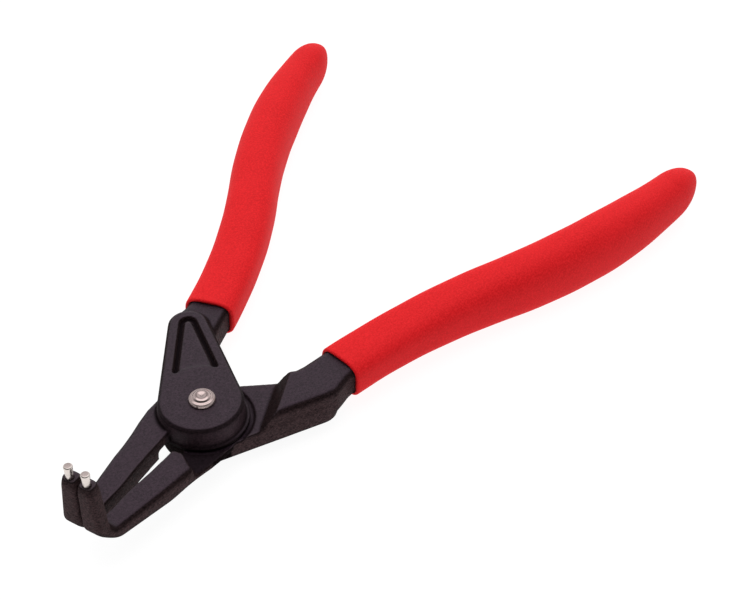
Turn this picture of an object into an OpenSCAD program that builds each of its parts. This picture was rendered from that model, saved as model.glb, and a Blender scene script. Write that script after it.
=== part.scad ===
// Circlip pliers for outside rings, with 90 degree bent tips.
// Two forged levers lap at a riveted joint, and squeezing the grips opens the tips.
// X runs from the pivot to the handles, Z is up along the rivet and the tips.
// The origin is on the pivot axis, at the flat foot of the rivet.

/* [Joint] */
// Radius of the round joint disc on each lever
disc_r = 8.7; // [7.8:0.1:9.6]
// How far the centre of that disc lies outwards of the pivot
disc_shift = 0.3; // [0:0.05:0.7]
// Thickness of each joint plate
plate_t = 4.8; // [4.2:0.1:5.2]
// Radius of the outer corner of the joint plate
apex_r = 4.3; // [3.6:0.1:5]
// Distance from the pivot to the centre of that corner
apex_d = 23.1; // [20.5:0.1:24]
// Angle from the middle line of the tool to that corner
apex_angle = 43; // [41:0.5:46]
// Bevel round the outer edge of the joint plate
plate_edge = 0.7; // [0.2:0.1:1]
// Gap between the two plates where they lap
lap_gap = 0.3; // [0.2:0.05:0.5]
// Radius of the thin flange round the foot of the upper disc
flange_r = 9.4; // [9.1:0.1:9.6]
// Height of that flange above the lap
flange_h = 0.15; // [0.1:0.05:0.6]
// Radius of the shallow seat that the flange turns in
seat_r = 10.2; // [9.9:0.1:11]
// Depth of that seat
seat_depth = 0.5; // [0.3:0.05:0.6]

/* [Lap relief] */
// Distance from the pivot to the end wall of the jaw, at the slit
jaw_wall_in = 12.3; // [11.6:0.1:13]
// Distance from the pivot to the end wall of the jaw, at the outside
jaw_wall_out = 14.6; // [13.6:0.1:15.6]
// Distance from the middle line to the corner in that wall
jaw_wall_corner = 3.6; // [3:0.1:4.4]
// Distance from the pivot to the foot of the ramp across the neck
neck_wall = 11.8; // [11.3:0.1:12.5]
// Slope of that foot against the middle line
neck_wall_angle = 20; // [16:1:22]
// How far the ramp leans back over the height of the neck
ramp_run = 3; // [1.5:0.1:3.6]

/* [Panel] */
// Distance from the edge of the plate to the sunk panel
panel_margin = 2.5; // [2:0.1:3]
// Width of the groove round the panel
groove_w = 1; // [0.5:0.1:1.2]
// Depth of the groove round the panel
groove_depth = 0.8; // [0.3:0.1:1]
// Depth of the panel inside the groove
panel_depth = 0.2; // [0.1:0.05:0.3]
// Radius of the arc round the pivot that ends the panel
panel_arc_r = 9.7; // [9:0.1:11]

/* [Jaw] */
// Thickness of the jaw
jaw_t = 4.5; // [4.2:0.1:5.4]
// Height of the middle of the jaw above the lap
jaw_lift = 0.3; // [0:0.05:0.6]
// Thickness of the nose
nose_t = 3.4; // [3.2:0.1:4]
// How much the heel of the bend is thinned by forging
heel_thin = 1; // [0:0.1:1.2]
// Distance from the middle line to the outside of the jaw at the joint
jaw_root_out = 9.4; // [8.4:0.1:9.8]
// Distance from the middle line to the outside of the jaw at the bend
jaw_tip_out = 5.2; // [4.4:0.1:5.6]
// Half the width of the slit between the jaws near the joint
slit_root = 1.85; // [1.5:0.05:2.4]
// Half the width of the slit between the jaws near the bend
slit_tip = 0.95; // [0.7:0.05:1.2]
// Half the gap between the closed noses
nose_gap = 0.15; // [0.15:0.05:0.4]
// Distance from the pivot to the start of the bend
bend_x = 32.65; // [30:0.05:36]
// Inner radius of the bend
bend_in = 1.8; // [1.2:0.1:2.6]
// Height of the nose above the lap, up to its top face
nose_top = 15.3; // [13:0.1:18]
// Height of the bevel round the top of the nose
nose_bevel = 1.5; // [0.8:0.1:1.8]
// How far that bevel draws the nose in
nose_bevel_in = 0.3; // [0.1:0.05:0.4]
// Width of the nose below its bevel
nose_w = 3.6; // [3.4:0.05:4.2]
// Rounding of the outer long edges of the jaw
jaw_edge = 1.1; // [0.6:0.1:1.3]
// Rounding of the long edges of the jaw along the slit
slit_edge = 0.35; // [0.2:0.05:0.5]

/* [Tip pins] */
// Diameter of the tip pin
pin_d = 1.8; // [1.4:0.1:1.9]
// Length of the pin that stands out of the nose
pin_out = 3; // [2:0.1:5]
// Diameter of the root that is pressed into the nose
pin_root_d = 1.4; // [1:0.1:1.4]
// Length of the root that is pressed into the nose
pin_in = 6; // [4:0.5:7]
// Height of the shoulder between the root and the pin
pin_shoulder = 0.15; // [0.1:0.05:0.3]
// Bevel at the end of the pin
pin_bevel = 0.2; // [0.1:0.05:0.4]
// How far the pin sits back from the middle of the nose
pin_back = 0.35; // [0:0.05:0.4]

/* [Rivet] */
// Diameter of the rivet shank
rivet_d = 4; // [3.4:0.1:4.4]
// Diameter of the rivet head
rivet_head_d = 6; // [5.6:0.1:7]
// Height of the rivet foot
rivet_foot_h = 1; // [0.8:0.1:1.4]
// Height of the formed upper head
rivet_head_h = 1.4; // [1:0.1:1.8]
// Bevel round the foot of the rivet
rivet_bevel = 0.3; // [0.1:0.05:0.5]
// Radial clearance of the shank in the levers
rivet_clear = 0.05; // [0.02:0.01:0.08]
// End float under the upper rivet head
rivet_float = 0.05; // [0.02:0.01:0.2]

/* [Return spring] */
// Diameter of the spring wire
wire_d = 1; // [0.8:0.05:1.1]
// Mean radius of the spring coil
coil_r = 4.3; // [4.1:0.05:4.6]
// Number of turns in the coil
coil_turns = 2.25; // [1.75:0.25:2.25]
// Clearance of the spring in its pocket
coil_clear = 0.3; // [0.2:0.05:0.4]
// Thickness of plate left over the end of a spring leg
leg_cover = 0.8; // [0.6:0.1:1.2]

/* [Handle] */
// Distance from the pivot to the mouth of the grip along the tool
mouth_x = 24.7; // [23.5:0.1:26.5]
// Distance from the middle line to the centre of the mouth
mouth_y = 16.3; // [15.8:0.1:17.2]
// Angle of the handle at the mouth
mouth_angle = 14.2; // [13:0.1:16.5]
// Length of the part of the handle that bows outwards
bow_len = 42.5; // [34:0.5:48]
// Angle through which the handle bows outwards
bow_out = 15.2; // [11:0.1:17]
// Angle through which the rest of the handle bows back in
bow_in = 22.7; // [18:0.1:26]
// Width of the neck and tang at the mouth
tang_w = 8.8; // [8:0.1:9]
// Height of the neck and tang at the mouth
tang_h = 6.8; // [5.8:0.1:7]
// Width of the tang near its end
tang_end_w = 5.6; // [4:0.1:6.4]
// Height of the tang near its end
tang_end_h = 5.4; // [4:0.1:6.2]
// Rounding of the long edges of the neck and tang
tang_edge = 1.4; // [1.2:0.1:1.8]
// Length of the taper at the end of the tang
tang_taper = 1; // [0.5:0.1:1.5]
// How far the neck swells outwards to meet the corner of the plate
neck_swell = 1.6; // [0.6:0.1:2]
// Length over which the neck swells
swell_len = 7; // [6:0.5:12]
// How far the neck swells inwards to carry the foot of the ramp
heel_swell = 2.2; // [1:0.1:3]
// Distance from the mouth to the place where that inner swell starts
heel_start = 7; // [5:0.5:8]
// Length over which the neck swells inwards
heel_len = 4.5; // [3.5:0.5:7]
// Distance from the end of the grip to the end of the tang
tang_short = 9; // [7:0.5:14]

/* [Grip] */
// Length of the grip
grip_len = 105; // [95:0.5:115]
// Width of the grip at the mouth
grip_mouth_w = 11.1; // [10.6:0.1:12.4]
// Width of the grip at its fullest place
grip_mid_w = 11.6; // [10:0.1:12.6]
// Width of the grip near the end
grip_end_w = 8.7; // [8.2:0.1:10]
// Height of the grip at the mouth
grip_mouth_h = 8.8; // [8.5:0.1:10.4]
// Height of the grip at its fullest place
grip_mid_h = 14.5; // [12.4:0.1:15.6]
// Height of the grip near the end
grip_end_h = 11.2; // [9.4:0.1:12.2]
// Distance from the mouth to the fullest place
grip_full = 68.5; // [58:0.5:76]
// Length of the rounded end of the grip
grip_dome = 9.5; // [7:0.5:12]
// Roundness of the section at the mouth, as a share of its smaller half
mouth_round = 0.55; // [0.4:0.01:0.9]
// Roundness of the section from the fullest place on
full_round = 0.88; // [0.5:0.01:0.95]
// Rounding of the lip at the mouth
grip_lip = 0.5; // [0.3:0.05:0.6]
// Clearance between the tang and the grip
grip_fit = 0.05; // [0.03:0.01:0.1]

/* [Hidden] */
$fn = 64;
far = 40;
mid_z = plate_t + rivet_foot_h;
lap = lap_gap / 2;
apex = apex_d * [cos(apex_angle), sin(apex_angle)];
hub = disc_shift * [-sin(apex_angle), cos(apex_angle)];
arm = apex - hub;
arm_angle = atan2(arm[1], arm[0]);
lean = asin((disc_r - apex_r) / norm(arm));
outer_normal = arm_angle + 90 - lean;
inner_normal = arm_angle - 90 + lean;
jaw_start = 2;
jaw_root = 6;
bend_r = bend_in + jaw_t / 2;
bend_len = bend_r * PI / 2;
nose_x = bend_x + bend_r - (jaw_t - nose_t) / 2;
nose_len = nose_top - nose_bevel - bend_r - jaw_lift;
nose_y = nose_gap + nose_w / 2;
pocket_in = coil_r - wire_d / 2 - coil_clear;
pocket_out = coil_r + wire_d / 2 + coil_clear;
coil_pitch = wire_d * 1.1;
coil_h = coil_turns * coil_pitch;
pocket_h = coil_h + wire_d + 2 * coil_clear;
leg_top = plate_t - leg_cover;
leg_end = leg_top - 0.1;
neck_len = 24;
tang_end = grip_len - tang_short;
corner_n = 5;

// Soft step from a to b while u goes from 0 to 1
function blend(a, b, u) = a + (b - a) * (1 - cos(180 * min(max(u, 0), 1))) / 2;

// Value that swells from a at the mouth to b at the fullest place and falls to c at the end
function swell(a, b, c, s) = s < grip_full
    ? blend(a, b, s / grip_full)
    : blend(b, c, (s - grip_full) / (grip_len - grip_full));

// Points round a rectangle with corners lo and hi, rounded by r1 on its low side and by r2 on its high side
function round_box(lo, hi, r1, r2) = [
    for (k = [0:3])
        for (j = [0:corner_n - 1])
            let (a = 90 * k + 90 * j / (corner_n - 1))
            let (high = k == 0 || k == 3, r = high ? r2 : r1)
            let (u = high ? hi[0] - r : lo[0] + r)
            let (v = k < 2 ? hi[1] - r : lo[1] + r)
            [u + r * cos(a), v + r * sin(a)]];

// Triangles that skin a stack of rings with n points each and close both ends
function skin(rings, n) = concat(
    [for (i = [1:n - 2]) [0, i, i + 1]],
    [for (r = [0:rings - 2], i = [0:n - 1]) [r * n + i, (r + 1) * n + i, r * n + (i + 1) % n]],
    [for (r = [0:rings - 2], i = [0:n - 1])
        [r * n + (i + 1) % n, (r + 1) * n + i, (r + 1) * n + (i + 1) % n]],
    [for (i = [1:n - 2]) [(rings - 1) * n, (rings - 1) * n + i + 1, (rings - 1) * n + i]]);

// Rings in the opposite order, for those that run against the way they are wound
function reversed(rings) = [for (i = [len(rings) - 1:-1:0]) rings[i]];

// Solid through a list of rings that all have the same number of points
module loft(rings) {
    n = len(rings[0]);
    polyhedron([for (ring = rings) for (p = ring) p], skin(len(rings), n), convexity = 10);
}

// Heading of the handle at distance s past the mouth: outward bow first, then back in
function heading(s) = s < 0 ? mouth_angle
    : s < bow_len ? mouth_angle + bow_out * s / bow_len
    : mouth_angle + bow_out - bow_in * (s - bow_len) / (grip_len - bow_len);

// Point on a run that starts at p with heading a, turns through t and is l long, at share u of it
function on_arc(p, a, t, l, u) =
    let (r = l / t * 180 / PI)
    p + r * [sin(a + t * u) - sin(a), cos(a) - cos(a + t * u)];

mouth = [mouth_x, mouth_y];
bow_end = on_arc(mouth, mouth_angle, bow_out, bow_len, 1);

// Centre of the handle at distance s past the mouth
function centre(s) = s < 0 ? mouth + s * [cos(mouth_angle), sin(mouth_angle)]
    : s < bow_len ? on_arc(mouth, mouth_angle, bow_out, bow_len, s / bow_len)
    : let (rest = grip_len - bow_len)
      on_arc(bow_end, mouth_angle + bow_out, -bow_in, rest, (s - bow_len) / rest);

// Flat ring of points set upright across the handle at distance s
function across(s, ring) = let (c = centre(s), a = heading(s))
    [for (p = ring) [c[0] - p[0] * sin(a), c[1] + p[0] * cos(a), p[1]]];

// Half sizes of the tang at distance s, and how far the neck stands out before the mouth
function tang_a(s) = blend(tang_w, tang_end_w, s / tang_end) / 2;
function tang_b(s) = blend(tang_h, tang_end_h, s / tang_end) / 2;
function neck_out(s) = s > 0 ? 0
    : min(blend(0, neck_swell, -s / swell_len), plate_side(s) - lap - tang_a(s));
function neck_in(s) = blend(0, heel_swell, (-s - heel_start) / heel_len);

// Distance from the centre of the handle to the outer edge of the plate, square across the handle
function plate_side(s) =
    let (n = [cos(outer_normal), sin(outer_normal)])
    let (m = [-sin(heading(s)), cos(heading(s))])
    (disc_r + n * hub - n * centre(s)) / (n * m);

// Ring of the neck and tang at distance s, grown by g all round
function tang_ring(s, g) = across(s, round_box(
    [-tang_a(s) - neck_in(s) - g, -tang_b(s) - g], [tang_a(s) + neck_out(s) + g, tang_b(s) + g],
    tang_edge + g, tang_edge + g));

// Ring of the grip at distance s, drawn in by inset and falling to nothing over the rounded end
function dome(s) = sqrt(1 - pow(max(s - grip_len + grip_dome, 0) / grip_dome, 2));
function grip_ring(s, inset) =
    let (a = swell(grip_mouth_w, grip_mid_w, grip_end_w, s) / 2 * dome(s) - inset)
    let (b = swell(grip_mouth_h, grip_mid_h, grip_end_h, s) / 2 * dome(s) - inset)
    let (r = min(a, b) * blend(mouth_round, full_round, s / grip_full))
    across(s, round_box([-a, -b], [a, b], r, r));

// Points on an arc with centre c and radius r, from angle a to angle b in n steps
function arc(c, r, a, b, n) = [for (i = [0:n]) let (t = a + (b - a) * i / n) c + r * [cos(t), sin(t)]];

// Outline of the joint plate, drawn in by d: the disc, one tangent, the outer corner and the other tangent
function plate_outline(d) = concat(
    arc(hub, disc_r - d, outer_normal, inner_normal + 360, 30),
    arc(apex, apex_r - d, inner_normal, outer_normal, 16));

// Sunk panel and groove in the plate, ended by an arc round the pivot
module panel_cut(from, to, depth) {
    translate([0, 0, plate_t - depth]) linear_extrude(depth + 1)
        difference() {
            polygon(plate_outline(from));
            if (to > 0) polygon(plate_outline(to));
            circle(panel_arc_r);
        }
}

// Joint plate of a lever, above the lap plane
module plate() {
    difference() {
        loft([for (r = [[0, lap], [0, plate_t - plate_edge], [plate_edge, plate_t]])
            [for (p = plate_outline(r[0])) [p[0], p[1], r[1]]]]);
        panel_cut(panel_margin, panel_margin + groove_w, groove_depth);
        panel_cut(panel_margin + groove_w / 2, 0, panel_depth);
    }
}

// Neck and tang as one forged bar that follows the handle
module tang() {
    neck = [for (i = [0:11]) neck_len * (i / 12 - 1)];
    inside = [for (i = [0:14]) tang_end * i / 14];
    loft(concat([for (s = concat(neck, inside)) tang_ring(s, 0)],
        [tang_ring(tang_end + tang_taper, -tang_taper)]));
}

// Sizes of the jaw at distance t from the pivot, measured along its middle
function jaw_bow(t) = min(max((t - bend_x) / bend_len, 0), 1) * 90;
function jaw_in(t) = lookup(t, [[jaw_root, slit_root], [bend_x - 2, slit_tip], [bend_x + 1.5, nose_gap]]);
function jaw_out(t) = lookup(t, [[jaw_root, jaw_root_out], [bend_x, jaw_tip_out],
    [bend_x + bend_len + nose_len, nose_gap + nose_w]]);
function jaw_low(t) = lookup(t, [[bend_x - 12, -jaw_t / 2], [bend_x, jaw_t / 2 - nose_t]])
    + heel_thin * sin(2 * jaw_bow(t));

// Ring across the jaw at distance t, drawn in by d: straight, round the bend, then up the nose
function jaw_ring(t, rise, d) =
    let (a = jaw_bow(t))
    let (x = -min(t, bend_x) - bend_r * sin(a))
    let (z = jaw_lift + bend_r * (1 - cos(a)) + max(t - bend_x - bend_len, 0) + rise)
    let (r = blend(slit_edge, 2 * slit_edge, a / 90))
    [for (p = round_box([jaw_in(t) + d, jaw_low(t) + d], [jaw_out(t) - d, jaw_t / 2 - d], r, jaw_edge))
        [x + p[1] * sin(a), p[0], z + p[1] * cos(a)]];

// Jaw on the positive side of the middle line, with its nose bent up
module jaw() {
    stop = bend_x + bend_len + nose_len;
    straight = concat([jaw_start, jaw_root], [for (d = [12, 6, 2, 1]) bend_x - d]);
    bend = [for (i = [0:9]) bend_x + bend_len * i / 9];
    stations = concat(straight, bend, [stop - nose_len / 2, stop]);
    rings = concat([for (t = stations) jaw_ring(t, 0, 0)], [jaw_ring(stop, nose_bevel, nose_bevel_in)]);
    loft(reversed(rings));
}

// Outline of the room that the other lever needs: from the end wall of the jaw to the wall of the neck
module relief_2d() {
    slope = tan(neck_wall_angle);
    foot = neck_wall / cos(neck_wall_angle);
    polygon(concat(
        [[-jaw_wall_in, -far], [-jaw_wall_in, slit_root], [-jaw_wall_in + slit_edge, jaw_wall_corner],
         [-jaw_wall_out, jaw_root_out], [-jaw_wall_out, far], [-jaw_start, far]],
        [for (x = [-jaw_start, far]) [x, foot - slope * x]],
        [[far, -far]]));
}

// Room for the other lever below the lap: the outline above, and a wedge that slopes the wall of the neck
module relief() {
    drop = tang_h / 2 + lap;
    translate([0, 0, lap - far]) linear_extrude(far) relief_2d();
    translate([0, 0, lap]) rotate(-neck_wall_angle) translate([-far / 2, neck_wall, 0]) rotate([90, 0, 90])
        linear_extrude(2 * far) polygon([[-1, 0], [0, 0], [ramp_run, -drop], [ramp_run, -far], [-1, -far]]);
}

// Bore for the rivet, pocket for the spring coil and hole for its leg, in the upper half of the joint
module joint_holes(leg_angle) {
    translate([0, 0, -far / 2]) cylinder(h = far, r = rivet_d / 2 + rivet_clear);
    difference() {
        translate([0, 0, -far / 2]) cylinder(h = far / 2 + pocket_h / 2, r = pocket_out);
        translate([0, 0, -far]) cylinder(h = 2 * far, r = pocket_in);
    }
    rotate(leg_angle) translate([coil_r, 0, 0]) cylinder(h = leg_top, d = wire_d + 2 * rivet_clear);
}

// Pressed bore for the root of the tip pin
module pin_bore() {
    translate([-nose_x - pin_back, nose_y, nose_top - pin_in])
        cylinder(h = pin_in + 1, d = pin_root_d, $fn = 32);
}

// Lever with its plate on top
module left_lever() {
    color("#3a3338") translate([0, 0, mid_z])
        difference() {
            union() {
                difference() {
                    union() {
                        tang();
                        jaw();
                    }
                    relief();
                }
                plate();
                translate([0, 0, lap - seat_depth]) cylinder(h = seat_depth + flange_h, r = flange_r);
            }
            joint_holes(180 + 360 * coil_turns);
            pin_bore();
        }
}

// Lever with its plate underneath: its joint and handle are the same forging turned over
module right_lever() {
    color("#3a3338") translate([0, 0, mid_z])
        difference() {
            union() {
                difference() {
                    union() {
                        rotate([180, 0, 0]) tang();
                        mirror([0, 1, 0]) jaw();
                    }
                    rotate([180, 0, 0]) relief();
                }
                rotate([180, 0, 0]) plate();
            }
            rotate([180, 0, 0]) joint_holes(180);
            translate([0, 0, -lap - seat_depth]) cylinder(h = far, r = seat_r);
            mirror([0, 1, 0]) pin_bore();
        }
}

// Turned profile of the upper head, as shares of its radius and height: rim, step, crown and a dimple
head_shape = [[0.95, 0], [1, 0.15], [1, 0.4], [0.93, 0.58], [0.74, 0.66], [0.68, 0.88], [0.58, 1],
    [0.34, 0.97], [0.22, 0.72], [0.1, 0.66], [0, 0.66]];

// Rivet with a flat foot, a shank and a formed upper head
module pivot_rivet() {
    r = rivet_head_d / 2;
    seat = rivet_foot_h - rivet_float;
    top = mid_z + plate_t + rivet_float;
    shank = rivet_d / 2;
    foot = [[0, 0], [r - rivet_bevel, 0], [r, rivet_bevel], [r, seat], [shank, seat], [shank, top]];
    head = [for (p = head_shape) [p[0] * r, top + p[1] * rivet_head_h]];
    color("#c9c2bb") rotate_extrude() polygon(concat(foot, head));
}

// Torsion spring in the pocket: a coil with a straight leg into each lever
module return_spring() {
    steps = round(coil_turns * 20);
    slope = atan(coil_pitch / (2 * PI * coil_r));
    rings = [for (i = [0:steps])
        let (a = 180 + 360 * coil_turns * i / steps)
        let (z = coil_h * (i / steps - 0.5))
        [for (j = [0:7])
            let (u = wire_d / 2 * cos(45 * j), v = wire_d / 2 * sin(45 * j))
            [(coil_r + u) * cos(a) + v * sin(slope) * sin(a),
             (coil_r + u) * sin(a) - v * sin(slope) * cos(a), z + v * cos(slope)]]];
    color("#8d8f93") translate([0, 0, mid_z]) {
        loft(reversed(rings));
        for (e = [0, 1])
            rotate(180 + e * 360 * coil_turns) translate([coil_r, 0, e == 0 ? -leg_end : coil_h / 2])
                cylinder(h = leg_end - coil_h / 2, d = wire_d);
    }
}

// Hard tip pin: a root pressed into the nose, a small shoulder and a pin with a bevelled end
module tip_pin() {
    r = pin_d / 2;
    root = pin_root_d / 2;
    color("#d8d4d0") translate([-nose_x - pin_back, nose_y, mid_z + nose_top])
        rotate_extrude($fn = 32)
            polygon([[0, -pin_in], [root, -pin_in], [root, 0], [r, pin_shoulder],
                     [r, pin_out - pin_bevel], [r - pin_bevel, pin_out], [0, pin_out]]);
}

module left_tip_pin() {
    tip_pin();
}

module right_tip_pin() {
    mirror([0, 1, 0]) tip_pin();
}

// Dipped sleeve: one skin that runs from the end of the bore to the mouth, round the lip and out to the end
module grip() {
    last = tang_end + tang_taper;
    straight = grip_len - grip_dome;
    bore = [for (i = [12:-1:0]) tang_ring(last * i / 12, grip_fit)];
    lip = [for (k = [1, 0.3, 0]) grip_ring(grip_lip * (1 - k), grip_lip * k)];
    body = [for (i = [1:24]) grip_ring(straight * i / 24, 0)];
    round_end = [for (i = [1:6]) grip_ring(straight + grip_dome * sin(85 * i / 6), 0)];
    loft(concat(bore, lip, body, round_end));
}

module left_grip() {
    color("#d8252f") translate([0, 0, mid_z]) grip();
}

module right_grip() {
    color("#d8252f") translate([0, 0, mid_z]) rotate([180, 0, 0]) grip();
}

left_lever();
right_lever();
pivot_rivet();
return_spring();
left_tip_pin();
right_tip_pin();
left_grip();
right_grip();
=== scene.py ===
import math

import bmesh
import bpy
import numpy as np
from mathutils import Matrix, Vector


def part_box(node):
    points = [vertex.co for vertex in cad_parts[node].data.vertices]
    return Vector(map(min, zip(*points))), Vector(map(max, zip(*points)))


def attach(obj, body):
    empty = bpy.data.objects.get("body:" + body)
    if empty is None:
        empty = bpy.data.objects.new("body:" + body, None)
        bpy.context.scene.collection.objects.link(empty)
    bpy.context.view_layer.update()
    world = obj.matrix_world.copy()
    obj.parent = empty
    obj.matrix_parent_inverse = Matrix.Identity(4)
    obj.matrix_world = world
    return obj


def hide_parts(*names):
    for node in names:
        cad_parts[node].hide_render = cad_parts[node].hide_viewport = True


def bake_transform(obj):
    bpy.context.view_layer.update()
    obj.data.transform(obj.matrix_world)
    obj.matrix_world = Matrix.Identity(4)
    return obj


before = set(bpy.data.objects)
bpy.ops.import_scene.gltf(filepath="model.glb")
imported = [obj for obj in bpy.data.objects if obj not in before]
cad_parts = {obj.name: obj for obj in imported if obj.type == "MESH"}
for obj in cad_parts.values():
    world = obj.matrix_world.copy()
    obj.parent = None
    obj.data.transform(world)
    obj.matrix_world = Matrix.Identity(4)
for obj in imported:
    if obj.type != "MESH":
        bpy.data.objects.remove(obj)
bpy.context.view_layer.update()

# Levers
# Two drop-forged steel levers that lap at the joint. Jaw, joint plate, neck and tang are one piece.
# The flash is ground off the edges, then the forging is phosphated black, so broad faces stay smooth and
# side walls keep the grain of the die.
mm = 0.001
lap_z = 5.8 * mm
forging_grain = 0.25 * mm
merge_distance = 0.001 * mm
edge_softening = 4
edge_blurring = 3
edge_height = 0.028 * mm
wall_softening = 11
root_softening = 45
root_corner = np.array([-14.6, 8.8]) * mm
root_reach = 5.0 * mm
coil_r = 4.3 * mm
leg_places = np.array([[-coil_r, 0], [0, -coil_r]])
leg_reach = 1.3 * mm
leg_wall_reach = 0.75 * mm
leg_hole_r = 0.57 * mm
leg_hole_h = 4.15 * mm
slit_closing = 0.3 * mm
slit_start = 19.0 * mm
slit_end = 32.0 * mm
slit_reach = 3.0 * mm
machined_r = 10.8 * mm
machined_depth = 1.0 * mm
machined_fade = 0.4 * mm
# Painted shade: how hollows, the ring where the plates lap, the pocket behind the jaws and the recess
# beside the joint are darkened.
hollow_softening = 28
hollow_depth = 0.2 * mm
lap_ring_r = 9.6 * mm
lap_ring_w = 0.8 * mm
lap_ring_shade = 1.2
pocket_r = 13.5 * mm
pocket_x = -3.0 * mm
pocket_level = 0.7
recess_r = 17.0 * mm
recess_x = -4.0 * mm
recess_run = 2.0 * mm
recess_h = 0.9 * mm
recess_shade = 0.74
steep_level = 0.3
sloping_level = 0.5
flat_level = 0.8
skin_wave = 0.03 * mm
wave_ways = np.array([[1.1, 0.7, -0.5], [-0.6, 1.3, 0.8], [0.9, -0.4, 1.2]]) / mm
slow_wave = 0.37
slow_shift = 1.0
phosphate_black = (0.004, 0.002, 0.003, 1)
phosphate_grey = (0.036, 0.021, 0.031, 1)
phosphate_sheen = (1.0, 0.74, 0.92, 1)
wall_black = (0.013, 0.007, 0.007, 1)
wall_brown = (0.098, 0.057, 0.060, 1)
# Near black for the painted shade on roundings and in hollows.
shade_black = (0.002, 0.001, 0.001, 1)
worn_edge = (0.080, 0.062, 0.062, 1)
blotch_cells = 700
grain_cells = 2000
grain_flatness = 2.0
grain_depth = 0.45 * mm
pit_cells = 7000
pit_depth = 0.05 * mm
machined_grain = 0.3
edge_wear = 0.4
rounding_shade = 0.7
hollow_shade = 0.92
face_gloss = 0.21
wall_gloss = 0.06
shaded_gloss = 0.2
smooth_roughness = 0.32
grainy_roughness = 0.46
wall_roughening = 0.24
hollow_roughening = 0.45
noise_range = (0.3, 0.7)
wall_range = (0.96, 0.72)
low_rounding = (0.04, 0.38)
high_rounding = (0.985, 0.85)
rubbed_range = (0.25, 1.1)
sunk_shade_range = (0.25, 0.9)
face_range = (0.38, 0.64)
skin_range = (0.34, 0.68)
gloss_range = (0.3, 0.8)
pit_share = (0.25, 0.6)
pit_strength = 0.5
face_relief = 0.2
grain_coarseness = 0.7


def link_piece(name, mesh):
    """A new object at the origin that holds the mesh, shaded smooth."""
    mesh.polygons.foreach_set("use_smooth", np.ones(len(mesh.polygons), bool))
    piece = bpy.data.objects.new(name, mesh)
    bpy.context.scene.collection.objects.link(piece)
    return piece


def voxel_copy(node, name):
    """Mesh of a CAD node, with its doubles merged, sampled again on a fine voxel grid."""
    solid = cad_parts[node].data.copy()
    merged = bmesh.new()
    merged.from_mesh(solid)
    bmesh.ops.remove_doubles(merged, verts=merged.verts, dist=merge_distance)
    merged.to_mesh(solid)
    merged.free()
    rough = bpy.data.objects.new(name + "_rough", solid)
    bpy.context.scene.collection.objects.link(rough)
    sampled = rough.modifiers.new("grain", "REMESH")
    sampled.mode = "VOXEL"
    sampled.voxel_size = forging_grain
    mesh = bpy.data.meshes.new_from_object(rough.evaluated_get(bpy.context.evaluated_depsgraph_get()))
    bpy.data.objects.remove(rough)
    mesh.materials.clear()
    return mesh


def neighbour_mean(values, edges):
    """Mean of the rows of values at the points that share an edge with each point."""
    count = np.bincount(edges.ravel(), minlength=len(values))
    ends = np.concatenate([edges[:, 0], edges[:, 1]])
    starts = np.concatenate([edges[:, 1], edges[:, 0]])
    sums = [np.bincount(ends, weights=column[starts], minlength=len(values)) for column in values.T]
    return np.stack(sums, axis=1) / np.maximum(count, 1)[:, None]


def relaxed(points, edges, rounds, share=1.0):
    """Points that move, in each round, half their share of the way to the mean of their neighbours."""
    for _ in range(rounds):
        points = points + 0.5 * share * (neighbour_mean(points, edges) - points)
    return points


def ramped(values, start, end):
    """Share that goes from 0 to 1 while the values go from start to end."""
    return np.clip((values - start) / (end - start), 0, 1)


def point_normals(mesh, points):
    """Normals of the mesh at its points, once they are moved to the given places."""
    mesh.vertices.foreach_set("co", points.ravel())
    mesh.update()
    normals = np.zeros(len(points) * 3)
    mesh.vertex_normals.foreach_get("vector", normals)
    return normals.reshape(-1, 3)


def soft_skin(mesh, points, edges):
    """Points of a forging, from the points of a sampled solid.

    Each point moves half way to the mean of its neighbours a few times, which rounds every corner. Points
    at the roots of the jaws and on upright walls do so more often, which blends small steps away. The holes
    for the spring's legs keep still and become true circles. Near the bend the jaw's inner wall moves
    towards the slit along half a sine, as a forged slit closes a little faster than a straight one.
    """
    nearest = np.linalg.norm(points[:, None, :2] - leg_places, axis=2).argmin(axis=1)
    from_leg = points[:, :2] - leg_places[nearest]
    leg_distance = np.linalg.norm(from_leg, axis=1)
    in_leg_hole = (leg_distance < leg_reach) & (np.abs(points[:, 2] - lap_z) < leg_hole_h)
    free = np.where(in_leg_hole, 0.0, 1.0)[:, None]
    points = relaxed(points, edges, edge_softening, free)

    from_corner = np.hypot(points[:, 0] - root_corner[0], np.abs(points[:, 1]) - root_corner[1])
    at_root = ramped(from_corner, root_reach, root_reach / 3)[:, None]
    points = relaxed(points, edges, root_softening, at_root)

    level = np.abs(point_normals(mesh, points)[:, 2])
    leg_wall = in_leg_hole & (leg_distance < leg_wall_reach) & (level < sloping_level)
    round_wall = leg_places[nearest] + from_leg * (leg_hole_r / leg_distance)[:, None]
    points[leg_wall, :2] = round_wall[leg_wall]
    upright = free * ramped(level, sloping_level, steep_level)[:, None]
    points = relaxed(points, edges, wall_softening, upright)

    along = ramped(-points[:, 0], slit_start, slit_end)
    near = ramped(np.abs(points[:, 1]), slit_reach, slit_reach / 2)
    points[:, 1] -= np.sign(points[:, 1]) * slit_closing * np.sin(np.pi * along) * near
    return points


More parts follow.
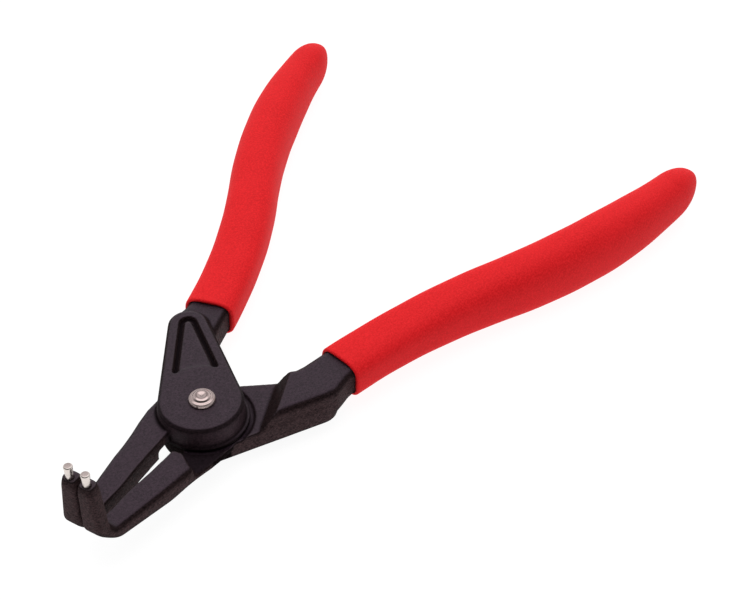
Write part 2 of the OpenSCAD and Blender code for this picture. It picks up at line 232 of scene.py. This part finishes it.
def painted_shade_amount(points, level, below):
    """How much painted shade each point gets, from none at zero to full at about one.

    It is the most of four measures: how far the point lies below the broad skin, how near it is to the ring
    where the plates lap, and whether it is on a wall of the pocket behind the jaws or on the floor of the
    recess beside the joint. The darkening stands in for the shade that falls in these hollows and gaps.
    """
    from_axis = np.hypot(points[:, 0], points[:, 1])
    from_lap = np.abs(points[:, 2] - lap_z)
    lap_ring = ramped(from_lap, lap_ring_w, 0) * np.exp(-((from_axis - lap_ring_r) / lap_ring_w) ** 2)
    pocket = ramped(from_axis, pocket_r, pocket_r - mm) * (points[:, 0] < pocket_x)
    pocket = pocket * (points[:, 2] < lap_z) * (level < pocket_level)
    recess = ramped(from_axis, recess_r, recess_r - mm)
    recess = recess * ramped(points[:, 0], recess_x, recess_x - recess_run)
    recess = recess * ramped(from_lap, recess_h, recess_h / 2) * ramped(level, sloping_level, flat_level)
    return np.max([below / hollow_depth, lap_ring_shade * lap_ring, pocket, recess_shade * recess], axis=0)


def forged_piece(node, name):
    """The solid of a CAD node as a forging, with a slow wave of sines that sinks the skin a little.

    Three attributes are kept: edge is how far a point lies outside the mean of its neighbours, machined is
    one on the upper part of the turned joint and falls off past it, and the third is the painted shade at
    the point.
    """
    mesh = voxel_copy(node, name)
    points = np.zeros(len(mesh.vertices) * 3)
    mesh.vertices.foreach_get("co", points)
    edges = np.zeros(len(mesh.edges) * 2, np.int32)
    mesh.edges.foreach_get("vertices", edges)
    edges = edges.reshape(-1, 2)
    points = soft_skin(mesh, points.reshape(-1, 3), edges)
    normals = point_normals(mesh, points)

    outside = ((points - neighbour_mean(points, edges)) * normals).sum(axis=1, keepdims=True)
    for _ in range(edge_blurring):
        outside = neighbour_mean(outside, edges)
    below = ((relaxed(points, edges, hollow_softening) - points) * normals).sum(axis=1)
    machined = ramped(np.hypot(points[:, 0], points[:, 1]), machined_r, machined_r - mm)
    machined_low = lap_z - machined_depth
    machined = machined * ramped(points[:, 2], machined_low, machined_low + machined_fade)
    # The last measure is painted shade for hollows and gaps.
    measures = {"edge": outside[:, 0] / edge_height,
                "painted_shade": painted_shade_amount(points, np.abs(normals[:, 2]), below),
                "machined": machined}
    for measure, values in measures.items():
        attribute = mesh.attributes.new(measure, "FLOAT", "POINT")
        attribute.data.foreach_set("value", values.astype(np.float32))

    wave = points @ wave_ways
    lift = np.sin(wave).mean(axis=1) * np.sin(wave * slow_wave + slow_shift).mean(axis=1)
    points = points - normals * skin_wave * (0.5 + 0.5 * lift)[:, None]
    mesh.vertices.foreach_set("co", points.ravel())
    mesh.update()
    return link_piece(name, mesh)


def finish_material(name, slot_colour):
    """A material with one Principled shader; returns the material, its nodes, its links and the shader."""
    material = bpy.data.materials.new(name)
    material.use_nodes = True
    material.diffuse_color = slot_colour
    nodes = material.node_tree.nodes
    return material, nodes, material.node_tree.links, nodes["Principled BSDF"]


def grain_noise(nodes, links, cells, detail, roughness=0.6, flatness=1.0):
    """Noise on Object coordinates, with so many cells in a metre, and flatness times as many upwards."""
    place = nodes.new("ShaderNodeTexCoord")
    stretch = nodes.new("ShaderNodeMapping")
    stretch.inputs["Scale"].default_value = (1.0, 1.0, flatness)
    links.new(place.outputs["Object"], stretch.inputs["Vector"])
    noise = nodes.new("ShaderNodeTexNoise")
    noise.inputs["Scale"].default_value = cells
    noise.inputs["Detail"].default_value = detail
    noise.inputs["Roughness"].default_value = roughness
    links.new(stretch.outputs["Vector"], noise.inputs["Vector"])
    return noise.outputs["Fac"]


def ramp(nodes, links, source, low, high, dark, light):
    """Colour that goes from dark to light while the source goes from low to high."""
    steps = nodes.new("ShaderNodeValToRGB")
    steps.color_ramp.elements[0].position = low
    steps.color_ramp.elements[0].color = dark
    steps.color_ramp.elements[1].position = high
    steps.color_ramp.elements[1].color = light
    links.new(source, steps.inputs["Fac"])
    return steps.outputs["Color"]


def mixed(nodes, links, share, first, second):
    """Colour that goes from first to second with the share; either may be a socket or a fixed colour."""
    mix = nodes.new("ShaderNodeMix")
    mix.data_type = "RGBA"
    links.new(share, mix.inputs["Factor"])
    for socket, value in ((mix.inputs[6], first), (mix.inputs[7], second)):
        if isinstance(value, tuple):
            socket.default_value = value
        else:
            links.new(value, socket)
    return mix.outputs[2]


def span(nodes, links, source, low, high, start=0.0, end=1.0):
    """Number that goes from start to end while the source goes from low to high."""
    ranged = nodes.new("ShaderNodeMapRange")
    ranged.inputs["From Min"].default_value = low
    ranged.inputs["From Max"].default_value = high
    ranged.inputs["To Min"].default_value = start
    ranged.inputs["To Max"].default_value = end
    links.new(source, ranged.inputs["Value"])
    return ranged.outputs["Result"]


def combined(nodes, links, operation, first, second):
    """Number that the operation makes of two others."""
    sums = nodes.new("ShaderNodeMath")
    sums.operation = operation
    links.new(first, sums.inputs[0])
    links.new(second, sums.inputs[1])
    return sums.outputs["Value"]


def levelness(nodes, links):
    """How far the surface faces straight up or down: one on a level face and zero on an upright wall."""
    facing = nodes.new("ShaderNodeTexCoord")
    axes = nodes.new("ShaderNodeSeparateXYZ")
    links.new(facing.outputs["Normal"], axes.inputs["Vector"])
    level = nodes.new("ShaderNodeMath")
    level.operation = "ABSOLUTE"
    links.new(axes.outputs["Z"], level.inputs[0])
    return level.outputs["Value"]


def measured(nodes, name):
    """The piece's own attribute of that name."""
    attribute = nodes.new("ShaderNodeAttribute")
    attribute.attribute_name = name
    return attribute.outputs["Fac"]


def bumped(nodes, links, shader, height, distance, strength, below=None):
    """Bump of the given depth on the shader's normal, on top of an earlier bump where there is one."""
    bump = nodes.new("ShaderNodeBump")
    bump.inputs["Distance"].default_value = distance
    if isinstance(strength, float):
        bump.inputs["Strength"].default_value = strength
    else:
        links.new(strength, bump.inputs["Strength"])
    links.new(height, bump.inputs["Height"])
    if below is not None:
        links.new(below, bump.inputs["Normal"])
    links.new(bump.outputs["Normal"], shader.inputs["Normal"])
    return bump.outputs["Normal"]


def forged_black():
    """Phosphated steel: broad faces mottled grey, walls brown and rough, with painted shade that darkens
    roundings and hollows.
    """
    material, nodes, links, shader = finish_material("forged_black", phosphate_grey)
    level = levelness(nodes, links)
    wall = span(nodes, links, level, *wall_range)
    rough_share = span(nodes, links, measured(nodes, "machined"), 0, 1, 1, machined_grain)
    forged_wall = combined(nodes, links, "MULTIPLY", wall, rough_share)
    blotches = grain_noise(nodes, links, blotch_cells, 3)
    grain = grain_noise(nodes, links, grain_cells, 3, grain_coarseness, grain_flatness)
    pits = grain_noise(nodes, links, pit_cells, 2)

    speckle = mixed(nodes, links, span(nodes, links, blotches, *noise_range, *pit_share), grain, pits)
    face = ramp(nodes, links, speckle, *face_range, phosphate_black, phosphate_grey)
    skin = ramp(nodes, links, grain, *skin_range, wall_black, wall_brown)
    colour = mixed(nodes, links, forged_wall, face, skin)
    rubbed = span(nodes, links, measured(nodes, "edge"), *rubbed_range, 0, edge_wear)
    colour = mixed(nodes, links, rubbed, colour, worn_edge)
    # Painted shade: roundings, standing in for their dark reflections, and the painted shade attribute mix
    # the colour towards near black and dim the gloss.
    rounding = combined(nodes, links, "MINIMUM", span(nodes, links, level, *low_rounding),
                        span(nodes, links, level, *high_rounding))
    sunk_shade = span(nodes, links, measured(nodes, "painted_shade"), *sunk_shade_range, 0, hollow_shade)
    shade = combined(nodes, links, "MAXIMUM", span(nodes, links, rounding, 0, 1, 0, rounding_shade), sunk_shade)
    links.new(mixed(nodes, links, shade, colour, shade_black), shader.inputs["Base Color"])

    dull = combined(nodes, links, "MAXIMUM", span(nodes, links, wall, 0, 1, 0, wall_roughening),
                    span(nodes, links, sunk_shade, 0, 1, 0, hollow_roughening))
    grainy = span(nodes, links, grain, *gloss_range, smooth_roughness, grainy_roughness)
    links.new(combined(nodes, links, "ADD", dull, grainy), shader.inputs["Roughness"])
    skin_gloss = span(nodes, links, forged_wall, 0, 1, face_gloss, wall_gloss)
    gloss = combined(nodes, links, "MULTIPLY", skin_gloss, span(nodes, links, shade, 0, 1, 1, shaded_gloss))
    links.new(gloss, shader.inputs["Specular IOR Level"])
    shader.inputs["Specular Tint"].default_value = phosphate_sheen
    relief = span(nodes, links, forged_wall, 0, 1, face_relief, 1)
    coarse = bumped(nodes, links, shader, grain, grain_depth, relief)
    bumped(nodes, links, shader, pits, pit_depth, pit_strength, coarse)
    return material


lever_finish = forged_black()
for side in ("right", "left"):
    lever = forged_piece(side + "_lever", side + "_forging")
    lever.data.materials.append(lever_finish)
    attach(lever, side + "_half")
    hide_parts(side + "_lever")

# Return spring
# A coil of drawn spring wire in the pocket between the two joint plates, with a straight leg in each plate.
# It pushes the grips apart, and its coil twists as they close. At most its edge shows, in the joint's gap.
wire_r = 0.5 * mm
wire_sides = 14
coil_turns = 2.25
coil_h = 2.475 * mm
coil_steps = 160
leg_end = 3.5 * mm
leg_gap = 0.4 * wire_r
leg_steps = 12
wire_grey = (0.40, 0.40, 0.42, 1)
wire_dull = (0.30, 0.29, 0.29, 1)
wire_roughness = (0.28, 0.45)
streak_cells = 2600
streak_depth = 0.03 * mm
streak_strength = 0.3


def surface(name, grid):
    """Mesh of a grid of rings: row i of the grid is one closed ring, and the rings are joined in order.

    Faces wind so that they point outwards when each ring turns to the left about the way the rows run.
    Both ends are closed by a fan of triangles round the mean of their ring.
    """
    rows, around, _ = grid.shape
    points = grid.reshape(-1, 3)
    here = np.arange(around)
    beside = (here + 1) % around
    row = around * np.arange(rows - 1)[:, None]
    quads = np.stack([row + here, row + beside, row + around + beside, row + around + here], axis=-1)
    faces = quads.reshape(-1, 4).tolist()
    for end, pair in ((0, [beside, here]), (rows - 1, [here, beside])):
        points = np.vstack([points, grid[end].mean(axis=0)])
        hub = np.full(around, len(points) - 1)
        faces += np.stack([end * around + pair[0], end * around + pair[1], hub], axis=1).tolist()
    mesh = bpy.data.meshes.new(name)
    mesh.from_pydata(points, [], faces)
    mesh.update()
    return mesh


def swept_tube(path, radius, around):
    """Rings of a round wire: at each point of the path a circle in the plane across it.

    The circle's two axes are the way out from the upright axis, made square to the path, and the direction
    square to that and to the path.
    """
    run = np.gradient(path, axis=0)
    run /= np.linalg.norm(run, axis=1, keepdims=True)
    outward = path * np.array([1, 1, 0])
    outward -= (outward * run).sum(axis=1, keepdims=True) * run
    outward /= np.linalg.norm(outward, axis=1, keepdims=True)
    across = np.cross(run, outward)
    turn = np.linspace(0, 2 * np.pi, around, endpoint=False)[None, :, None]
    return path[:, None] + radius * (outward[:, None] * np.cos(turn) + across[:, None] * np.sin(turn))


def spring_path():
    """Points along the wire about the middle of the joint: a leg up into the coil, the coil, and a leg out.

    The coil is a helix, whose angle and height rise evenly. Each leg is upright, at an end of the helix.
    """
    u = np.linspace(0, 1, coil_steps)
    angle = np.pi + 2 * np.pi * coil_turns * u
    coil = np.stack([coil_r * np.cos(angle), coil_r * np.sin(angle), coil_h * (u - 0.5)], axis=1)
    rise = np.linspace(leg_end, coil_h / 2 + leg_gap, leg_steps)[:, None] * np.array([0, 0, 1])
    leg_in = coil[0] * np.array([1, 1, 0]) - rise
    leg_out = coil[-1] * np.array([1, 1, 0]) + rise[::-1]
    return np.vstack([leg_in, coil[2:-2], leg_out])


def drawn_wire():
    """Drawn steel wire: metal with fine streaks in its colour and gloss."""
    material, nodes, links, shader = finish_material("drawn_wire", wire_grey)
    streaks = grain_noise(nodes, links, streak_cells, 3)
    colour = ramp(nodes, links, streaks, *noise_range, wire_dull, wire_grey)
    links.new(colour, shader.inputs["Base Color"])
    shader.inputs["Metallic"].default_value = 1.0
    links.new(span(nodes, links, streaks, *noise_range, *wire_roughness), shader.inputs["Roughness"])
    bumped(nodes, links, shader, streaks, streak_depth, streak_strength)
    return material


wire = swept_tube(spring_path(), wire_r, wire_sides) + [0, 0, lap_z]
spring = link_piece("return_wire", surface("return_wire", wire))
spring.data.materials.append(drawn_wire())
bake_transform(spring)
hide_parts("return_spring")

# Pivot rivet
# A turned steel rivet that holds the plates together, with a flat foot underneath.
# Its upper head is formed cold by a spinning tool, which leaves a rim, a stepped crown and a ringed dimple.
rivet_r = 2.0 * mm
rivet_foot_r = 3.0 * mm
rivet_foot_h = 1.0 * mm
rivet_head_r = 2.8 * mm
rivet_head_h = 1.4 * mm
rivet_float = 0.05 * mm
rivet_bevel = 0.3 * mm
rivet_softness = 0.16 * mm
rivet_steps = 6
longest_bend = 0.45
rivet_centre_r = 0.05 * mm
rivet_sides = 128
plate_t = 4.8 * mm
head_shape = [(0.02, 0.76), (0.08, 0.77), (0.34, 0.95), (0.42, 0.97), (0.58, 0.87), (0.66, 0.66),
              (0.72, 0.60), (0.86, 0.54), (0.89, 0.42), (0.93, 0.38), (1.0, 0.03), (0.97, 0.0)]
# The lighter rivet colour is a painted highlight on sloped faces; the darker one is painted shade on level
# faces and the colour of smudges.
rivet_steel_highlight = (0.50, 0.40, 0.385, 1)
rivet_smudge_shade = (0.19, 0.147, 0.144, 1)
rivet_rings = 0.3
rivet_roughness = 0.12
smudge_cells = 700
smudge_roughening = 0.12
ring_cells = 450
ring_depth = 0.03 * mm
ring_unevenness = 0.8
scratch_cells = 6500
scratch_depth = 0.02 * mm
scratch_strength = 0.25
level_range = (0.90, 0.985)
ring_shade = 0.9
smudge_range = (0.5, 0.8)
smudge_shade = 0.6


def turned(name, profile, centre, around):
    """Mesh of a profile of radius and height pairs that is turned once round an upright axis at the centre.

    The profile runs from the top down, and its rings are joined from the bottom up, so they face outwards.
    Its first and last points lie off the axis, and their rings are closed by flat fans.
    """
    turn = np.linspace(0, 2 * np.pi, around, endpoint=False)
    radius = profile[:, 0][:, None]
    height = np.broadcast_to(profile[:, 1][:, None], (len(profile), around))
    grid = np.stack([radius * np.cos(turn), radius * np.sin(turn), height], axis=-1)
    return surface(name, grid[::-1] + np.array(centre))


def softened(corners, radius, steps):
    """Profile through the corners, where each inner one is rounded by a parabola.

    The parabola starts at the radius before the corner and ends at the radius after it, or nearly half way
    along a side that is too short for that.
    """
    corners = np.asarray(corners, float)
    before, here, after = corners[:-2], corners[1:-1], corners[2:]
    back, ahead = before - here, after - here
    room_back = np.linalg.norm(back, axis=1, keepdims=True)
    room_ahead = np.linalg.norm(ahead, axis=1, keepdims=True)
    start = here + back * np.minimum(radius / room_back, longest_bend)
    stop = here + ahead * np.minimum(radius / room_ahead, longest_bend)
    u = np.linspace(0, 1, steps)[None, :, None]
    bends = (1 - u) ** 2 * start[:, None] + 2 * u * (1 - u) * here[:, None] + u ** 2 * stop[:, None]
    return np.vstack([corners[:1], bends.reshape(-1, 2), corners[-1:]])


def bright_steel(name, steel_highlight, dull, ring_strength, polish):
    """Bright steel with a warm cast, smudges and rings about the upright axis; level faces take the darker
    colour and sloped faces the lighter one, as painted shade and highlight.
    """
    material, nodes, links, shader = finish_material(name, steel_highlight)
    smudge = grain_noise(nodes, links, smudge_cells, 3)
    scratch = grain_noise(nodes, links, scratch_cells, 2)
    place = nodes.new("ShaderNodeTexCoord")
    rings = nodes.new("ShaderNodeTexWave")
    rings.wave_type = "RINGS"
    rings.rings_direction = "Z"
    rings.inputs["Scale"].default_value = ring_cells
    rings.inputs["Distortion"].default_value = ring_unevenness
    rings.inputs["Detail"].default_value = 1.0
    links.new(place.outputs["Object"], rings.inputs["Vector"])

    # Painted highlight and shade: sloped faces keep the lighter colour and level faces go to the darker
    # one, which the real rings and smudges also reach.
    level_face = span(nodes, links, levelness(nodes, links), *level_range)
    ring_tone = span(nodes, links, rings.outputs["Fac"], 0, 1, 1 - ring_shade * ring_strength, 1)
    ringed_level_shade = combined(nodes, links, "MULTIPLY", level_face, ring_tone)
    smears = span(nodes, links, smudge, *smudge_range, 0, smudge_shade)
    smudge_and_shade = combined(nodes, links, "MAXIMUM", ringed_level_shade, smears)
    links.new(mixed(nodes, links, smudge_and_shade, steel_highlight, dull), shader.inputs["Base Color"])
    shader.inputs["Metallic"].default_value = 1.0
    roughness = span(nodes, links, smudge, *noise_range, polish, polish + smudge_roughening)
    links.new(roughness, shader.inputs["Roughness"])
    cut = bumped(nodes, links, shader, rings.outputs["Fac"], ring_depth, ring_strength)
    bumped(nodes, links, shader, scratch, scratch_depth, scratch_strength, cut)
    return material


head_z = lap_z + plate_t + rivet_float
foot_z = rivet_foot_h - rivet_float
head = np.array(head_shape) * [rivet_head_r, rivet_head_h] + [0, head_z]
foot = [(rivet_r, head_z), (rivet_r, foot_z), (rivet_foot_r, foot_z), (rivet_foot_r, rivet_bevel),
        (rivet_foot_r - rivet_bevel, 0), (rivet_centre_r, 0)]
rivet_profile = softened(np.vstack([head, foot]), rivet_softness, rivet_steps)
rivet = link_piece("formed_rivet", turned("formed_rivet", rivet_profile, (0, 0, 0), rivet_sides))
rivet_finish = bright_steel("rivet_steel", rivet_steel_highlight, rivet_smudge_shade, rivet_rings, rivet_roughness)
rivet.data.materials.append(rivet_finish)
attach(rivet, "right_half")
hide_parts("pivot_rivet")

# Tip pins
# Hardened round pins, ground bright, each with a thinner root that is pressed into the nose.
# They go into the holes of the ring, so their ends are bevelled, and they narrow a little towards the nose.
pin_r = 0.9 * mm
pin_out = 3.0 * mm
pin_neck_r = 0.72 * mm
pin_root_r = 0.7 * mm
pin_bevel = 0.2 * mm
pin_shoulder = 0.15 * mm
pin_softness = 0.1 * mm
pin_steps = 5
pin_centre_r = 0.04 * mm
pin_sides = 64
# The lighter pin colour is a painted highlight on the sides; the darker one is painted shade on the level
# ends and the colour of smudges.
pin_steel_highlight = (0.72, 0.65, 0.61, 1)
pin_smudge_shade = (0.30, 0.25, 0.24, 1)
pin_rings = 0.0
pin_roughness = 0.24

pin_finish = bright_steel("pin_steel", pin_steel_highlight, pin_smudge_shade, pin_rings, pin_roughness)
for side in ("right", "left"):
    low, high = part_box(side + "_tip_pin")
    centre = ((low.x + high.x) / 2, (low.y + high.y) / 2, 0)
    nose_top = high.z - pin_out
    corners = [(pin_centre_r, high.z), (pin_r - pin_bevel, high.z), (pin_r, high.z - pin_bevel),
               (pin_neck_r, nose_top + pin_shoulder), (pin_root_r, nose_top), (pin_root_r, low.z),
               (pin_centre_r, low.z)]
    pin_name = side + "_ground_pin"
    pin_profile = softened(corners, pin_softness, pin_steps)
    pin = link_piece(pin_name, turned(pin_name, pin_profile, centre, pin_sides))
    pin.data.materials.append(pin_finish)
    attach(pin, side + "_half")
    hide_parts(side + "_tip_pin")

# Grips
# Soft red vinyl sleeves, made by dipping the tangs, so the skin is thicker towards the palm and closed at
# the end. The mouth is a thin rolled lip, and the satin surface carries a fine mottle.
mouth = np.array([24.7, 16.3]) * mm
mouth_heading = math.radians(14.2)
bow_len = 42.5 * mm
bow_out = math.radians(15.2)
bow_in = math.radians(22.7)
grip_len = 105.0 * mm
grip_full = 68.5 * mm
grip_dome = 9.5 * mm
grip_widths = np.array([11.1, 11.6, 8.7]) * mm
grip_heights = np.array([8.8, 14.5, 11.2]) * mm
grip_lip = 0.5 * mm
grip_fit = 0.05 * mm
grip_sides = 112
bore_start = 0.4 * grip_lip
bore_rings = 60
lip_rings = 9
body_rings = 220
dome_rings = 36
dome_turn = 0.47 * math.pi
dip_wave = 0.03 * mm
fast_dip = 0.55 / mm
slow_dip = 0.23 / mm
dip_shift = 1.3
tang_widths = np.array([8.8, 5.6]) * mm
tang_heights = np.array([6.8, 5.4]) * mm
tang_end = 96.0 * mm
bore_room = 1.0 * mm
bore_squareness = 7.0
mouth_squareness = 3.2
full_squareness = 2.4
vinyl_red = (0.71, 0.005, 0.009, 1)
vinyl_deep = (0.66, 0.003, 0.006, 1)
vinyl_fleck = (0.88, 0.016, 0.021, 1)
vinyl_gloss = 0.17
vinyl_roughness = (0.66, 0.80)
cloud_cells = 120
mottle_cells = 2600
mottle_depth = 0.12 * mm
mottle_strength = 0.3
mottle_coarseness = 0.65
mottle_range = (0.3, 0.75)
fleck_range = (0.38, 0.68)
dimple_cells = 4200
dimple_depth = 0.05 * mm
dimple_strength = 0.5


def soft_step(first, second, u):
    """Value that goes from first to second along half a cosine while u goes from 0 to 1."""
    return first + (second - first) * (1 - np.cos(np.pi * np.clip(u, 0, 1))) / 2


def handle_line(s):
    """Points and headings of the handle's centre line at distances s past the mouth.

    It is an arc that turns outwards over the bow, then an arc that turns back in, so the heading rises and
    falls evenly, and the place along an arc is its radius times the change of sine and of cosine of the
    heading.
    """
    def along(start, heading, turn, length, u):
        radius = length / turn
        now = heading + turn * u
        steps = np.stack([np.sin(now) - math.sin(heading), math.cos(heading) - np.cos(now)], axis=-1)
        return start + radius * steps, now

    rest = grip_len - bow_len
    first, first_heading = along(mouth, mouth_heading, bow_out, bow_len, s / bow_len)
    bow_end, _ = along(mouth, mouth_heading, bow_out, bow_len, np.array(1.0))
    second, second_heading = along(bow_end, mouth_heading + bow_out, -bow_in, rest, (s - bow_len) / rest)
    inner = s < bow_len
    return np.where(inner[:, None], first, second), np.where(inner, first_heading, second_heading)


def along_grip(sizes, s):
    """Size that swells from the mouth to the fullest place and falls to the end."""
    return np.where(s < grip_full, soft_step(sizes[0], sizes[1], s / grip_full),
                    soft_step(sizes[1], sizes[2], (s - grip_full) / (grip_len - grip_full)))


def rings_across(s, half_width, half_height, squareness):
    """Rings across the handle: superellipses, a cosine and a sine to the power of 2 over the squareness."""
    points, heading = handle_line(s)
    turn = np.linspace(0, 2 * np.pi, grip_sides, endpoint=False)
    power = 2 / squareness[:, None]
    side = half_width[:, None] * np.sign(np.cos(turn)) * np.abs(np.cos(turn)) ** power
    up = half_height[:, None] * np.sign(np.sin(turn)) * np.abs(np.sin(turn)) ** power
    return np.stack([points[:, :1] - side * np.sin(heading)[:, None],
                     points[:, 1:] + side * np.cos(heading)[:, None], up], axis=-1)


def dipped_sleeve():
    """Rings of the sleeve: out along the bore, round the rolled lip, along the body and over the domed end.

    Along the body the half sizes follow the swell, and over the end they shrink as a quarter ellipse does.
    A faint wave of two sines along it stands for the uneven dip.
    """
    bore_s = np.linspace(tang_end + bore_room, bore_start, bore_rings)
    bore = rings_across(bore_s, soft_step(*tang_widths, bore_s / tang_end) / 2 + grip_fit,
                        soft_step(*tang_heights, bore_s / tang_end) / 2 + grip_fit,
                        np.full(bore_rings, bore_squareness))
    roll = np.linspace(0, np.pi / 2, lip_rings)
    lip_s = grip_lip * (1 - np.cos(roll))
    body_s = np.linspace(grip_lip, grip_len - grip_dome, body_rings)[1:]
    end_s = grip_len - grip_dome + grip_dome * np.sin(np.linspace(0, dome_turn, dome_rings)[1:])
    s = np.concatenate([lip_s, body_s, end_s])
    inset = np.zeros(len(s))
    inset[:lip_rings] = grip_lip * (1 - np.sin(roll))
    shrink = np.sqrt(1 - (np.clip(s - grip_len + grip_dome, 0, None) / grip_dome) ** 2)
    squareness = soft_step(mouth_squareness, full_squareness, s / grip_full)
    wave = dip_wave * (np.sin(s * fast_dip) + np.sin(s * slow_dip + dip_shift) - 2) / 2
    outside = rings_across(s, along_grip(grip_widths, s) / 2 * shrink - inset + wave,
                           along_grip(grip_heights, s) / 2 * shrink - inset + wave, squareness)
    return np.vstack([bore, outside])


def red_vinyl():
    """Dipped vinyl: satin red with a fine mottle, small dimples and slow clouds of deeper red."""
    material, nodes, links, shader = finish_material("red_vinyl", vinyl_red)
    mottle = grain_noise(nodes, links, mottle_cells, 4, mottle_coarseness)
    clouds = grain_noise(nodes, links, cloud_cells, 2)
    dimples = grain_noise(nodes, links, dimple_cells, 2)
    patches = ramp(nodes, links, clouds, *noise_range, vinyl_deep, vinyl_red)
    colour = mixed(nodes, links, span(nodes, links, mottle, *fleck_range), patches, vinyl_fleck)
    links.new(colour, shader.inputs["Base Color"])
    links.new(span(nodes, links, mottle, *mottle_range, *vinyl_roughness), shader.inputs["Roughness"])
    shader.inputs["Specular IOR Level"].default_value = vinyl_gloss
    soft = bumped(nodes, links, shader, mottle, mottle_depth, mottle_strength)
    bumped(nodes, links, shader, dimples, dimple_depth, dimple_strength, soft)
    return material


grip_finish = red_vinyl()
sleeve = dipped_sleeve()
for side, flip in (("right", -1), ("left", 1)):
    rings = sleeve * np.array([1, flip, 1]) + np.array([0, 0, lap_z])
    rings = rings if flip > 0 else rings[:, ::-1]
    grip = link_piece(side + "_sleeve", surface(side + "_sleeve", rings))
    grip.data.materials.append(grip_finish)
    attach(grip, side + "_half")
    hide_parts(side + "_grip")

# Floor, light and camera
# A pale seamless floor that the grips lie on, which glows a little so that it stays white.
# A soft light comes from behind and above, and the camera has the photograph's own view.
floor_half = 1.6
floor_grey = (0.15, 0.15, 0.15, 1)
floor_roughness = 0.9
floor_glow = 0.93
white = (1, 1, 1, 1)
lamp_place = Vector((0.12, 0.08, 0.80))
lamp_size = 0.9
lamp_power = 2.8
sky_aim = Vector((0.64, 0.39, 0.66))
sky_reach = 0.9
sky_light = 1.15
sky_dark = 0.08
sweep_light = 0.75
sweep_low = 0.08
sweep_top = 0.36
view_target = Vector((47.594, -10.851, 5.8)) * mm
view_azimuth = math.radians(-58.657)
view_elevation = math.radians(41.479)
view_distance = 358.806 * mm
view_lens = 80.388
view_sensor = 36
view_near = 0.01

low_z = min(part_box(side + "_grip")[0].z for side in ("left", "right"))
floor_corners = floor_half * np.array([[-1, -1], [1, -1], [1, 1], [-1, 1]])
floor_mesh = bpy.data.meshes.new("floor")
floor_mesh.from_pydata(np.hstack([floor_corners, np.full((4, 1), low_z)]).tolist(), [], [(0, 1, 2, 3)])
floor = link_piece("floor", floor_mesh)
floor_material, _, _, floor_shader = finish_material("pale_floor", floor_grey)
floor_shader.inputs["Base Color"].default_value = floor_grey
floor_shader.inputs["Roughness"].default_value = floor_roughness
floor_shader.inputs["Specular IOR Level"].default_value = 0.0
floor_shader.inputs["Emission Color"].default_value = white
floor_shader.inputs["Emission Strength"].default_value = floor_glow
floor.data.materials.append(floor_material)

lamp = bpy.data.lights.new("overhead", "AREA")
lamp.shape = "DISK"
lamp.size = lamp_size
lamp.energy = lamp_power
stand = bpy.data.objects.new("overhead", lamp)
stand.location = lamp_place
stand.rotation_euler = (view_target - lamp_place).to_track_quat("-Z", "Y").to_euler()
bpy.context.scene.collection.objects.link(stand)

world = bpy.data.worlds.new("studio")
world.use_nodes = True
sky_nodes, sky_links = world.node_tree.nodes, world.node_tree.links
ways = sky_nodes.new("ShaderNodeTexCoord")
toward = sky_nodes.new("ShaderNodeVectorMath")
toward.operation = "DOT_PRODUCT"
toward.inputs[1].default_value = sky_aim.normalized()
sky_links.new(ways.outputs["Generated"], toward.inputs[0])
sky = span(sky_nodes, sky_links, toward.outputs["Value"], 0.0, sky_reach, sky_dark, sky_light)
heights = sky_nodes.new("ShaderNodeSeparateXYZ")
sky_links.new(ways.outputs["Generated"], heights.inputs["Vector"])
sweep = span(sky_nodes, sky_links, heights.outputs["Z"], sweep_low, sweep_top, sweep_light, 0.0)
sky = combined(sky_nodes, sky_links, "MAXIMUM", sky, sweep)
sky_nodes["Background"].inputs["Color"].default_value = white
sky_links.new(sky, sky_nodes["Background"].inputs["Strength"])
bpy.context.scene.world = world
bpy.context.scene.view_settings.view_transform = "Standard"

back = Vector((math.sin(view_azimuth) * math.cos(view_elevation),
               -math.cos(view_azimuth) * math.cos(view_elevation), math.sin(view_elevation)))
camera = bpy.data.objects.new("camera", bpy.data.cameras.new("camera"))
camera.data.sensor_width = view_sensor
camera.data.lens = view_lens
camera.data.clip_start = view_near
camera.location = view_target + back * view_distance
camera.rotation_euler = (-back).to_track_quat("-Z", "Y").to_euler()
bpy.context.scene.collection.objects.link(camera)
bpy.context.scene.camera = camera

bpy.context.view_layer.update()
